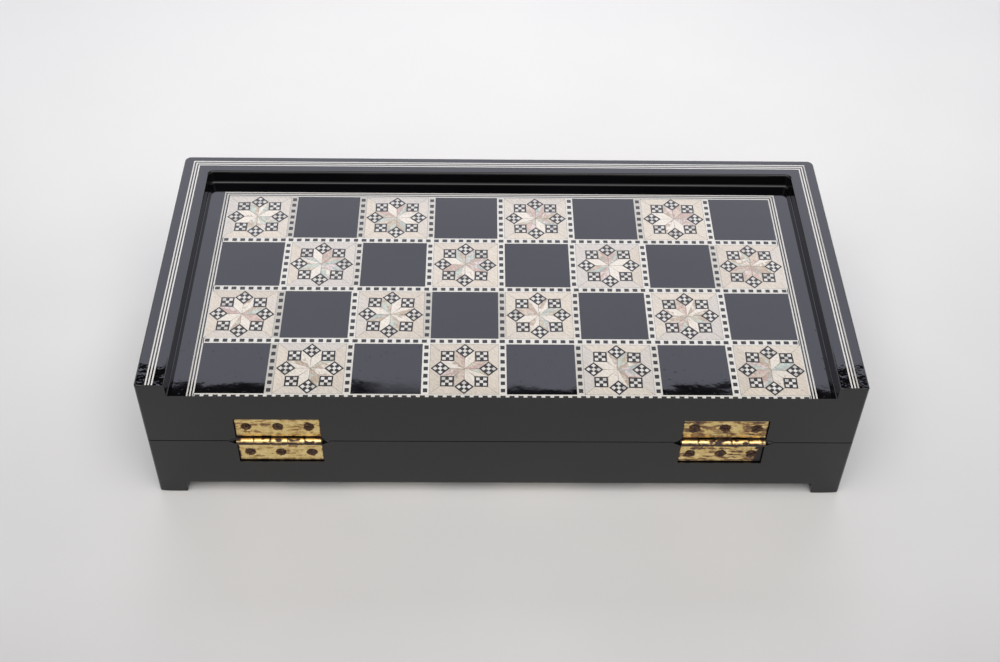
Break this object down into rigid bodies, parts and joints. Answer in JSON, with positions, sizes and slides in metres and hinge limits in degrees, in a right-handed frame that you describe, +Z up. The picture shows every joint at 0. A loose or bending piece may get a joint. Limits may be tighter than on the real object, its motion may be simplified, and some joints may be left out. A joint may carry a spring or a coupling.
{
  "type": "folding backgammon case",
  "caption": "Folding black-lacquered backgammon case with inlaid chess boards on both outer faces, brass butt hinges and swing hooks.",
  "frame": {"origin": "centre of the bounding box in plan, on the surface the closed case stands on", "axes": "+Z up, X along the hinge line, +Y from the hinge side towards the latch side"},
  "size_m": [0.42, 0.2102, 0.098],
  "materials": {
    "black_lacquer": "high-gloss black lacquer over wood",
    "chess_inlay": "glossy veneer inlaid with pearl, ivory-coloured and black pieces",
    "points_inlay": "satin marquetry veneer with backgammon points",
    "panel_wood": "unfinished plywood core",
    "brass": "worn, tarnished at the edges",
    "screw_steel": "dull, browned",
    "pale_checker": "polished pale wood",
    "dark_checker": "polished dark wood",
    "bone": "polished, bone coloured"
  },
  "bodies": {
    "base": {"base_left_wall": "black_lacquer", "base_right_wall": "black_lacquer", "base_back_wall": "black_lacquer", "base_hinge_wall": "black_lacquer", "base_panel": "panel_wood", "base_chess_veneer": "chess_inlay", "base_points_veneer": "points_inlay", "left_hinge_base_leaf": "brass", "left_hinge_base_screw_1": "screw_steel", "left_hinge_base_screw_2": "screw_steel", "left_hinge_base_screw_3": "screw_steel", "left_hinge_pin": "brass", "left_latch_stud": "brass", "right_hinge_base_leaf": "brass", "right_hinge_base_screw_1": "screw_steel", "right_hinge_base_screw_2": "screw_steel", "right_hinge_base_screw_3": "screw_steel", "right_hinge_pin": "brass", "right_latch_stud": "brass", "pale_checker_stack_1": "pale_checker", "dark_checker_stack_1": "dark_checker", "pale_checker_stack_2": "pale_checker", "dark_checker_stack_2": "dark_checker", "pale_checker_stack_3": "pale_checker", "dark_checker_stack_3": "dark_checker", "die_1": "bone", "die_2": "bone"},
    "lid": {"lid_left_wall": "black_lacquer", "lid_right_wall": "black_lacquer", "lid_back_wall": "black_lacquer", "lid_hinge_wall": "black_lacquer", "lid_panel": "panel_wood", "lid_chess_veneer": "chess_inlay", "lid_points_veneer": "points_inlay", "left_hinge_lid_leaf": "brass", "left_hinge_lid_screw_1": "screw_steel", "left_hinge_lid_screw_2": "screw_steel", "left_hinge_lid_screw_3": "screw_steel", "left_latch_pivot_screw": "brass", "right_hinge_lid_leaf": "brass", "right_hinge_lid_screw_1": "screw_steel", "right_hinge_lid_screw_2": "screw_steel", "right_hinge_lid_screw_3": "screw_steel", "right_latch_pivot_screw": "brass"},
    "left_hook": {"left_latch_hook": "brass"},
    "right_hook": {"right_latch_hook": "brass"}
  },
  "joints": [
    {"name": "lid_hinge", "type": "hinge", "parent": "base", "child": "lid", "pos_m": [0, -0.10268, 0.049], "axis": [1, 0, 0], "range_deg": [0, 180]},
    {"name": "left_hook_pivot", "type": "hinge", "parent": "lid", "child": "left_hook", "pos_m": [-0.132, 0.1022, 0.0565], "axis": [0, -1, 0], "range_deg": [-60, 50]},
    {"name": "right_hook_pivot", "type": "hinge", "parent": "lid", "child": "right_hook", "pos_m": [0.132, 0.1022, 0.0565], "axis": [0, 1, 0], "range_deg": [-60, 50]}
  ]
}
